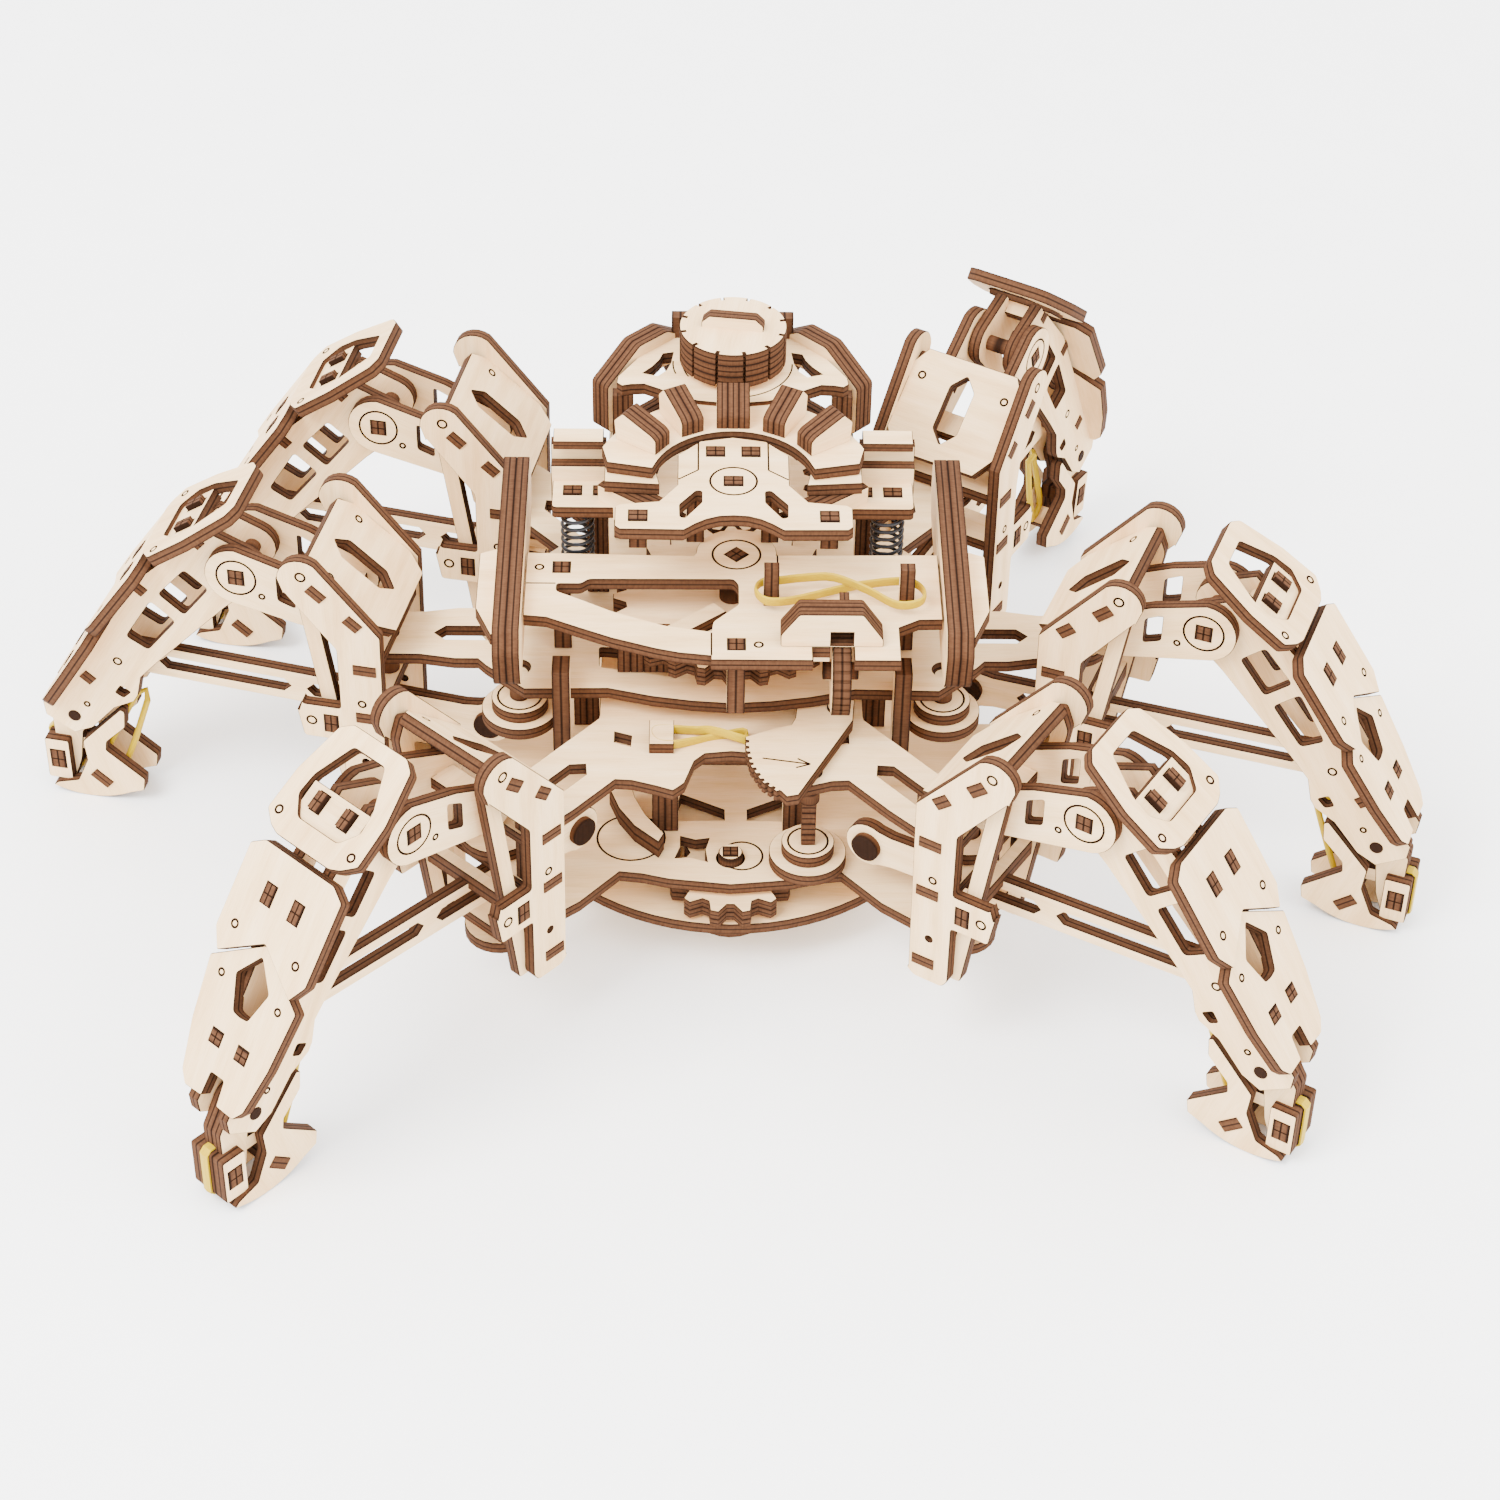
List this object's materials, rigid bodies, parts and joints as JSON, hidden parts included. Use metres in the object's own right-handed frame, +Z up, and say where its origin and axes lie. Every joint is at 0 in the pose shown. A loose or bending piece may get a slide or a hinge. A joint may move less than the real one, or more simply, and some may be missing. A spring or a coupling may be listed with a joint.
{
  "type": "hexapod walking robot",
  "caption": "Six-legged clockwork walking robot of laser-cut plywood plates, with hinged legs on a stacked plate body, a top winding knob, gears, cranks and elastic bands.",
  "frame": {"origin": "on the floor under the middle of the whole robot's box in its walking pose", "axes": "+Z up, -Y towards the front of the robot, +X is the side of the legs named R (the right of someone who faces the front)"},
  "size_m": [0.3266, 0.2571, 0.1158],
  "materials": {
    "plywood": "bare birch plywood with laser-darkened edges",
    "turned_wood": "bare wood, waxed where it turns",
    "rubber_band": "smooth elastic",
    "spring_steel": "blackened wire"
  },
  "bodies": {
    "chassis": {"lower_hip_plate": "plywood", "bottom_disc": "plywood", "front_hip_plate": "plywood", "upper_hip_plate": "plywood", "front_deck": "plywood", "side_cheek_L": "plywood", "side_cheek_R": "plywood", "bridge": "plywood", "fin_ring": "plywood", "coil_spring_L": "spring_steel", "coil_spring_R": "spring_steel", "rear_dome": "plywood", "deck_band": "rubber_band", "lever_band": "rubber_band"},
    "hip_FL": {"hip_bracket_FL": "plywood"},
    "thigh_FL": {"thigh_FL": "plywood"},
    "shin_FL": {"shin_FL": "plywood"},
    "foot_FL": {"foot_FL": "plywood", "foot_band_FL": "rubber_band"},
    "rod_FL": {"push_rod_FL": "plywood"},
    "hip_FR": {"hip_bracket_FR": "plywood"},
    "thigh_FR": {"thigh_FR": "plywood"},
    "shin_FR": {"shin_FR": "plywood"},
    "foot_FR": {"foot_FR": "plywood", "foot_band_FR": "rubber_band"},
    "rod_FR": {"push_rod_FR": "plywood"},
    "hip_ML": {"hip_bracket_ML": "plywood"},
    "thigh_ML": {"thigh_ML": "plywood"},
    "shin_ML": {"shin_ML": "plywood"},
    "foot_ML": {"foot_ML": "plywood", "foot_band_ML": "rubber_band"},
    "rod_ML": {"push_rod_ML": "plywood"},
    "hip_MR": {"hip_bracket_MR": "plywood"},
    "thigh_MR": {"thigh_MR": "plywood"},
    "shin_MR": {"shin_MR": "plywood"},
    "foot_MR": {"foot_MR": "plywood", "foot_band_MR": "rubber_band"},
    "rod_MR": {"push_rod_MR": "plywood"},
    "hip_RL": {"hip_bracket_RL": "plywood"},
    "thigh_RL": {"thigh_RL": "plywood"},
    "shin_RL": {"shin_RL": "plywood"},
    "foot_RL": {"foot_RL": "plywood", "foot_band_RL": "rubber_band"},
    "rod_RL": {"push_rod_RL": "plywood"},
    "hip_RR": {"hip_bracket_RR": "plywood"},
    "thigh_RR": {"thigh_RR": "plywood"},
    "shin_RR": {"shin_RR": "plywood"},
    "foot_RR": {"foot_RR": "plywood", "foot_band_RR": "rubber_band"},
    "rod_RR": {"push_rod_RR": "plywood"},
    "centre_shaft": {"centre_shaft": "turned_wood"},
    "front_pinion": {"front_pinion": "turned_wood"},
    "winding": {"winding_shaft": "turned_wood", "winding_knob": "plywood"},
    "crank_front": {"crank_front": "turned_wood"},
    "crank_L": {"crank_L": "turned_wood"},
    "crank_R": {"crank_R": "turned_wood"},
    "walk_lever": {"walk_lever": "plywood"},
    "mode_wheel": {"mode_wheel": "plywood"}
  },
  "joints": [
    {"name": "hip_swing_FL", "type": "hinge", "parent": "chassis", "child": "hip_FL", "pos_m": [-0.04982, -0.06193, 0.00077], "axis": [0, 0, 1], "range_deg": [-20, 1]},
    {"name": "thigh_lift_FL", "type": "hinge", "parent": "hip_FL", "child": "thigh_FL", "pos_m": [-0.056, -0.06846, 0.06877], "axis": [-0.7266, 0.6871, 0], "range_deg": [0, 18]},
    {"name": "shin_fold_FL", "type": "hinge", "parent": "thigh_FL", "child": "shin_FL", "pos_m": [-0.07167, -0.08503, 0.07617], "axis": [-0.7266, 0.6871, 0], "range_deg": [-23.01, 0.01]},
    {"name": "rod_slide_FL", "type": "slide", "parent": "hip_FL", "child": "rod_FL", "axis": [0.6861, 0.7255, -0.0541], "range_m": [-0.00001, 0.00621]},
    {"name": "ankle_flex_FL", "type": "hinge", "parent": "shin_FL", "child": "foot_FL", "pos_m": [-0.10291, -0.11807, 0.02493], "axis": [-0.7266, 0.6871, 0], "range_deg": [0, 8], "stiffness_Nm_per_rad": 0.03, "springref_deg": -17.19},
    {"name": "hip_swing_FR", "type": "hinge", "parent": "chassis", "child": "hip_FR", "pos_m": [0.05332, -0.06193, 0.00077], "axis": [0, 0, 1], "range_deg": [-20, 1]},
    {"name": "thigh_lift_FR", "type": "hinge", "parent": "hip_FR", "child": "thigh_FR", "pos_m": [0.06088, -0.0668, 0.06877], "axis": [-0.5417, -0.8406, 0], "range_deg": [0, 18]},
    {"name": "shin_fold_FR", "type": "hinge", "parent": "thigh_FR", "child": "shin_FR", "pos_m": [0.08005, -0.07915, 0.07617], "axis": [-0.5417, -0.8406, 0], "range_deg": [-23.01, 0.01]},
    {"name": "rod_slide_FR", "type": "slide", "parent": "hip_FR", "child": "rod_FR", "axis": [-0.8393, 0.5409, -0.0541], "range_m": [-0.00001, 0.00621]},
    {"name": "ankle_flex_FR", "type": "hinge", "parent": "shin_FR", "child": "foot_FR", "pos_m": [0.11826, -0.10378, 0.02493], "axis": [-0.5417, -0.8406, 0], "range_deg": [0, 8], "stiffness_Nm_per_rad": 0.03, "springref_deg": -17.19},
    {"name": "hip_swing_ML", "type": "hinge", "parent": "chassis", "child": "hip_ML", "pos_m": [-0.07765, -0.00155, 0.00077], "axis": [0, 0, 1], "range_deg": [-1, 20]},
    {"name": "thigh_lift_ML", "type": "hinge", "parent": "hip_ML", "child": "thigh_ML", "pos_m": [-0.08645, 0.00035, 0.06877], "axis": [0.2113, 0.9774, 0], "range_deg": [0, 18]},
    {"name": "shin_fold_ML", "type": "hinge", "parent": "thigh_ML", "child": "shin_ML", "pos_m": [-0.10873, 0.00517, 0.07617], "axis": [0.2113, 0.9774, 0], "range_deg": [-23.01, 0.01]},
    {"name": "rod_slide_ML", "type": "slide", "parent": "hip_ML", "child": "rod_ML", "axis": [0.976, -0.211, -0.0541], "range_m": [-0.00001, 0.00621]},
    {"name": "ankle_flex_ML", "type": "hinge", "parent": "shin_ML", "child": "foot_ML", "pos_m": [-0.15317, 0.01478, 0.02493], "axis": [0.2113, 0.9774, 0], "range_deg": [0, 8], "stiffness_Nm_per_rad": 0.03, "springref_deg": -17.19},
    {"name": "hip_swing_MR", "type": "hinge", "parent": "chassis", "child": "hip_MR", "pos_m": [0.08115, -0.00155, 0.00077], "axis": [0, 0, 1], "range_deg": [-1, 20]},
    {"name": "thigh_lift_MR", "type": "hinge", "parent": "hip_MR", "child": "thigh_MR", "pos_m": [0.0895, -0.00492, 0.06877], "axis": [-0.3746, -0.9272, 0], "range_deg": [0, 18]},
    {"name": "shin_fold_MR", "type": "hinge", "parent": "thigh_MR", "child": "shin_MR", "pos_m": [0.11063, -0.01346, 0.07617], "axis": [-0.3746, -0.9272, 0], "range_deg": [-23.01, 0.01]},
    {"name": "rod_slide_MR", "type": "slide", "parent": "hip_MR", "child": "rod_MR", "axis": [-0.9258, 0.3741, -0.0541], "range_m": [-0.00001, 0.00621]},
    {"name": "ankle_flex_MR", "type": "hinge", "parent": "shin_MR", "child": "foot_MR", "pos_m": [0.15279, -0.0305, 0.02493], "axis": [-0.3746, -0.9272, 0], "range_deg": [0, 8], "stiffness_Nm_per_rad": 0.03, "springref_deg": -17.19},
    {"name": "hip_swing_RL", "type": "hinge", "parent": "chassis", "child": "hip_RL", "pos_m": [-0.04982, 0.05883, 0.00077], "axis": [0, 0, 1], "range_deg": [-20, 1]},
    {"name": "thigh_lift_RL", "type": "hinge", "parent": "hip_RL", "child": "thigh_RL", "pos_m": [-0.05865, 0.06057, 0.06877], "axis": [0.1942, 0.981, 0], "range_deg": [0, 18]},
    {"name": "shin_fold_RL", "type": "hinge", "parent": "thigh_RL", "child": "shin_RL", "pos_m": [-0.08101, 0.065, 0.07617], "axis": [0.1942, 0.981, 0], "range_deg": [-23.01, 0.01]},
    {"name": "rod_slide_RL", "type": "slide", "parent": "hip_RL", "child": "rod_RL", "axis": [0.9795, -0.1939, -0.0541], "range_m": [-0.00001, 0.00621]},
    {"name": "ankle_flex_RL", "type": "hinge", "parent": "shin_RL", "child": "foot_RL", "pos_m": [-0.12561, 0.07383, 0.02493], "axis": [0.1942, 0.981, 0], "range_deg": [0, 8], "stiffness_Nm_per_rad": 0.03, "springref_deg": -17.19},
    {"name": "hip_swing_RR", "type": "hinge", "parent": "chassis", "child": "hip_RR", "pos_m": [0.05332, 0.05883, 0.00077], "axis": [0, 0, 1], "range_deg": [-20, 1]},
    {"name": "thigh_lift_RR", "type": "hinge", "parent": "hip_RR", "child": "thigh_RR", "pos_m": [0.05798, 0.06653, 0.06877], "axis": [0.8554, -0.518, 0], "range_deg": [-18, 2]},
    {"name": "shin_fold_RR", "type": "hinge", "parent": "thigh_RR", "child": "shin_RR", "pos_m": [0.06803, 0.08312, 0.08285], "axis": [0.8554, -0.518, 0], "range_deg": [-2.57, 23.01]},
    {"name": "rod_slide_RR", "type": "slide", "parent": "hip_RR", "child": "rod_RR", "axis": [-0.5154, -0.851, -0.1011], "range_m": [-0.00621, 0.0007]},
    {"name": "ankle_flex_RR", "type": "hinge", "parent": "shin_RR", "child": "foot_RR", "pos_m": [0.08918, 0.11804, 0.02785], "axis": [0.8554, -0.518, 0], "range_deg": [0, 8], "stiffness_Nm_per_rad": 0.03, "springref_deg": -17.19},
    {"name": "centre_shaft_turn", "type": "hinge", "parent": "chassis", "child": "centre_shaft", "pos_m": [0.00175, -0.00155, 0.00077], "axis": [0, 0, 1], "continuous": true},
    {"name": "front_pinion_turn", "type": "hinge", "parent": "chassis", "child": "front_pinion", "pos_m": [0.00175, -0.04097, 0.00077], "axis": [0, 0, 1], "continuous": true},
    {"name": "winding_turn", "type": "hinge", "parent": "chassis", "child": "winding", "pos_m": [0.00175, 0.04444, 0.00077], "axis": [0, 0, 1], "continuous": true},
    {"name": "crank_front_turn", "type": "hinge", "parent": "chassis", "child": "crank_front", "pos_m": [0.01925, -0.04205, 0.00077], "axis": [0, 0, 1], "continuous": true},
    {"name": "crank_L_turn", "type": "hinge", "parent": "chassis", "child": "crank_L", "pos_m": [-0.04675, -0.01405, 0.00077], "axis": [0, 0, 1], "continuous": true},
    {"name": "crank_R_turn", "type": "hinge", "parent": "chassis", "child": "crank_R", "pos_m": [0.05025, -0.01405, 0.00077], "axis": [0, 0, 1], "continuous": true},
    {"name": "walk_lever_swing", "type": "hinge", "parent": "chassis", "child": "walk_lever", "pos_m": [0.02575, -0.02355, 0.05207], "axis": [0, 0, 1], "range_deg": [-12, 12]},
    {"name": "mode_wheel_turn", "type": "hinge", "parent": "chassis", "child": "mode_wheel", "pos_m": [0.02575, -0.02955, 0.07077], "axis": [1, 0, 0], "range_deg": [-30, 30]}
  ],
  "couplings": [
    {"joint": "shin_fold_FL", "follows": "thigh_lift_FL", "ratio": -1.2778},
    {"joint": "rod_slide_FL", "follows": "thigh_lift_FL", "m_per_rad": 0.019735},
    {"joint": "hip_swing_FR", "follows": "hip_swing_FL", "ratio": 1},
    {"joint": "shin_fold_FR", "follows": "thigh_lift_FR", "ratio": -1.2778},
    {"joint": "rod_slide_FR", "follows": "thigh_lift_FR", "m_per_rad": 0.019735},
    {"joint": "hip_swing_ML", "follows": "hip_swing_FL", "ratio": -1},
    {"joint": "shin_fold_ML", "follows": "thigh_lift_ML", "ratio": -1.2778},
    {"joint": "rod_slide_ML", "follows": "thigh_lift_ML", "m_per_rad": 0.019735},
    {"joint": "hip_swing_MR", "follows": "hip_swing_FL", "ratio": -1},
    {"joint": "shin_fold_MR", "follows": "thigh_lift_MR", "ratio": -1.2778},
    {"joint": "rod_slide_MR", "follows": "thigh_lift_MR", "m_per_rad": 0.019735},
    {"joint": "hip_swing_RL", "follows": "hip_swing_FL", "ratio": 1},
    {"joint": "shin_fold_RL", "follows": "thigh_lift_RL", "ratio": -1.2778},
    {"joint": "rod_slide_RL", "follows": "thigh_lift_RL", "m_per_rad": 0.019735},
    {"joint": "hip_swing_RR", "follows": "hip_swing_FL", "ratio": 1},
    {"joint": "shin_fold_RR", "follows": "thigh_lift_RR", "ratio": -1.2778},
    {"joint": "rod_slide_RR", "follows": "thigh_lift_RR", "m_per_rad": 0.019735},
    {"joint": "front_pinion_turn", "follows": "centre_shaft_turn", "ratio": -2},
    {"joint": "winding_turn", "follows": "centre_shaft_turn", "ratio": -1.3333}
  ]
}
